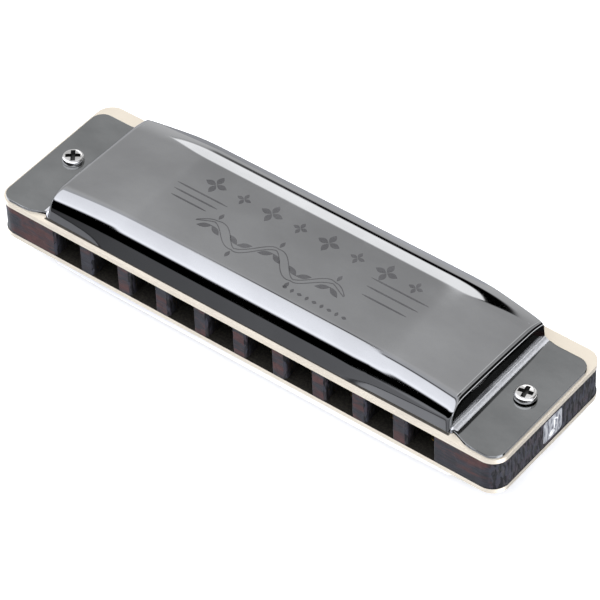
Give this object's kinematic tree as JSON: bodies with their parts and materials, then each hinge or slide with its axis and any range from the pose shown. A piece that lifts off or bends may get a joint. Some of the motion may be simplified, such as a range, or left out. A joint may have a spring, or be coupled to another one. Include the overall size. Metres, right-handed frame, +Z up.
{
  "type": "diatonic harmonica",
  "caption": "Diatonic mouth harmonica with two dark chromed covers over pale reed plates, a stained wooden comb and free reeds that swing in their slots.",
  "frame": {"origin": "middle of the flat face of the bottom cover, which the harmonica rests on", "axes": "+X along the row of holes towards the high notes, +Y from the mouth side to the open back, +Z up out of the top cover"},
  "size_m": [0.1, 0.0284, 0.0188],
  "materials": {
    "cover_chrome": "polished black chrome",
    "reed_plate_metal": "rolled nickel silver",
    "stained_wood": "dark stained, sealed",
    "reed_brass": "milled spring brass",
    "rivet_brass": "pressed",
    "plate_screw_brass": "turned",
    "screw_steel": "polished nickel",
    "nut_steel": "plated",
    "mark_enamel": "satin"
  },
  "bodies": {
    "harmonica": {"comb": "stained_wood", "blow_reed_plate": "reed_plate_metal", "draw_reed_plate": "reed_plate_metal", "top_cover": "cover_chrome", "bottom_cover": "cover_chrome", "blow_reed_pads": "reed_brass", "draw_reed_pads": "reed_brass", "blow_reed_rivets": "rivet_brass", "draw_reed_rivets": "rivet_brass", "cover_screws": "screw_steel", "cover_nuts": "nut_steel", "reed_plate_screws": "plate_screw_brass", "key_mark": "mark_enamel"},
    "blow_reed_1": {"blow_reed_1": "reed_brass"},
    "draw_reed_1": {"draw_reed_1": "reed_brass"},
    "blow_reed_2": {"blow_reed_2": "reed_brass"},
    "draw_reed_2": {"draw_reed_2": "reed_brass"},
    "blow_reed_3": {"blow_reed_3": "reed_brass"},
    "draw_reed_3": {"draw_reed_3": "reed_brass"},
    "blow_reed_4": {"blow_reed_4": "reed_brass"},
    "draw_reed_4": {"draw_reed_4": "reed_brass"},
    "blow_reed_5": {"blow_reed_5": "reed_brass"},
    "draw_reed_5": {"draw_reed_5": "reed_brass"},
    "blow_reed_6": {"blow_reed_6": "reed_brass"},
    "draw_reed_6": {"draw_reed_6": "reed_brass"},
    "blow_reed_7": {"blow_reed_7": "reed_brass"},
    "draw_reed_7": {"draw_reed_7": "reed_brass"},
    "blow_reed_8": {"blow_reed_8": "reed_brass"},
    "draw_reed_8": {"draw_reed_8": "reed_brass"},
    "blow_reed_9": {"blow_reed_9": "reed_brass"},
    "draw_reed_9": {"draw_reed_9": "reed_brass"},
    "blow_reed_10": {"blow_reed_10": "reed_brass"},
    "draw_reed_10": {"draw_reed_10": "reed_brass"}
  },
  "joints": [
    {"name": "blow_reed_1_flex", "type": "hinge", "parent": "harmonica", "child": "blow_reed_1", "pos_m": [-0.03533, 0.0059, 0.01201], "axis": [1, 0, 0], "range_deg": [-4, 4], "stiffness_Nm_per_rad": 0.058},
    {"name": "draw_reed_1_flex", "type": "hinge", "parent": "harmonica", "child": "draw_reed_1", "pos_m": [-0.03533, -0.0084, 0.00551], "axis": [1, 0, 0], "range_deg": [-4, 4], "stiffness_Nm_per_rad": 0.058},
    {"name": "blow_reed_2_flex", "type": "hinge", "parent": "harmonica", "child": "blow_reed_2", "pos_m": [-0.02747, 0.00499, 0.01201], "axis": [1, 0, 0], "range_deg": [-4, 4], "stiffness_Nm_per_rad": 0.0604},
    {"name": "draw_reed_2_flex", "type": "hinge", "parent": "harmonica", "child": "draw_reed_2", "pos_m": [-0.02747, -0.0084, 0.00551], "axis": [1, 0, 0], "range_deg": [-4, 4], "stiffness_Nm_per_rad": 0.0604},
    {"name": "blow_reed_3_flex", "type": "hinge", "parent": "harmonica", "child": "blow_reed_3", "pos_m": [-0.01963, 0.00414, 0.01201], "axis": [1, 0, 0], "range_deg": [-4, 4], "stiffness_Nm_per_rad": 0.0629},
    {"name": "draw_reed_3_flex", "type": "hinge", "parent": "harmonica", "child": "draw_reed_3", "pos_m": [-0.01963, -0.0084, 0.00551], "axis": [1, 0, 0], "range_deg": [-4, 4], "stiffness_Nm_per_rad": 0.0629},
    {"name": "blow_reed_4_flex", "type": "hinge", "parent": "harmonica", "child": "blow_reed_4", "pos_m": [-0.01178, 0.00333, 0.01201], "axis": [1, 0, 0], "range_deg": [-4, 4], "stiffness_Nm_per_rad": 0.0655},
    {"name": "draw_reed_4_flex", "type": "hinge", "parent": "harmonica", "child": "draw_reed_4", "pos_m": [-0.01178, -0.0084, 0.00551], "axis": [1, 0, 0], "range_deg": [-4, 4], "stiffness_Nm_per_rad": 0.0655},
    {"name": "blow_reed_5_flex", "type": "hinge", "parent": "harmonica", "child": "blow_reed_5", "pos_m": [-0.00392, 0.00257, 0.01201], "axis": [1, 0, 0], "range_deg": [-4, 4], "stiffness_Nm_per_rad": 0.0681},
    {"name": "draw_reed_5_flex", "type": "hinge", "parent": "harmonica", "child": "draw_reed_5", "pos_m": [-0.00392, -0.0084, 0.00551], "axis": [1, 0, 0], "range_deg": [-4, 4], "stiffness_Nm_per_rad": 0.0681},
    {"name": "blow_reed_6_flex", "type": "hinge", "parent": "harmonica", "child": "blow_reed_6", "pos_m": [0.00392, 0.00186, 0.01201], "axis": [1, 0, 0], "range_deg": [-4, 4], "stiffness_Nm_per_rad": 0.0708},
    {"name": "draw_reed_6_flex", "type": "hinge", "parent": "harmonica", "child": "draw_reed_6", "pos_m": [0.00392, -0.0084, 0.00551], "axis": [1, 0, 0], "range_deg": [-4, 4], "stiffness_Nm_per_rad": 0.0708},
    {"name": "blow_reed_7_flex", "type": "hinge", "parent": "harmonica", "child": "blow_reed_7", "pos_m": [0.01178, 0.00119, 0.01201], "axis": [1, 0, 0], "range_deg": [-4, 4], "stiffness_Nm_per_rad": 0.0736},
    {"name": "draw_reed_7_flex", "type": "hinge", "parent": "harmonica", "child": "draw_reed_7", "pos_m": [0.01178, -0.0084, 0.00551], "axis": [1, 0, 0], "range_deg": [-4, 4], "stiffness_Nm_per_rad": 0.0736},
    {"name": "blow_reed_8_flex", "type": "hinge", "parent": "harmonica", "child": "blow_reed_8", "pos_m": [0.01963, 0.00056, 0.01201], "axis": [1, 0, 0], "range_deg": [-4, 4], "stiffness_Nm_per_rad": 0.0765},
    {"name": "draw_reed_8_flex", "type": "hinge", "parent": "harmonica", "child": "draw_reed_8", "pos_m": [0.01963, -0.0084, 0.00551], "axis": [1, 0, 0], "range_deg": [-4, 4], "stiffness_Nm_per_rad": 0.0765},
    {"name": "blow_reed_9_flex", "type": "hinge", "parent": "harmonica", "child": "blow_reed_9", "pos_m": [0.02747, -0.00004, 0.01201], "axis": [1, 0, 0], "range_deg": [-4, 4], "stiffness_Nm_per_rad": 0.0794},
    {"name": "draw_reed_9_flex", "type": "hinge", "parent": "harmonica", "child": "draw_reed_9", "pos_m": [0.02747, -0.0084, 0.00551], "axis": [1, 0, 0], "range_deg": [-4, 4], "stiffness_Nm_per_rad": 0.0794},
    {"name": "blow_reed_10_flex", "type": "hinge", "parent": "harmonica", "child": "blow_reed_10", "pos_m": [0.03533, -0.0006, 0.01201], "axis": [1, 0, 0], "range_deg": [-4, 4], "stiffness_Nm_per_rad": 0.0825},
    {"name": "draw_reed_10_flex", "type": "hinge", "parent": "harmonica", "child": "draw_reed_10", "pos_m": [0.03533, -0.0084, 0.00551], "axis": [1, 0, 0], "range_deg": [-4, 4], "stiffness_Nm_per_rad": 0.0825}
  ]
}
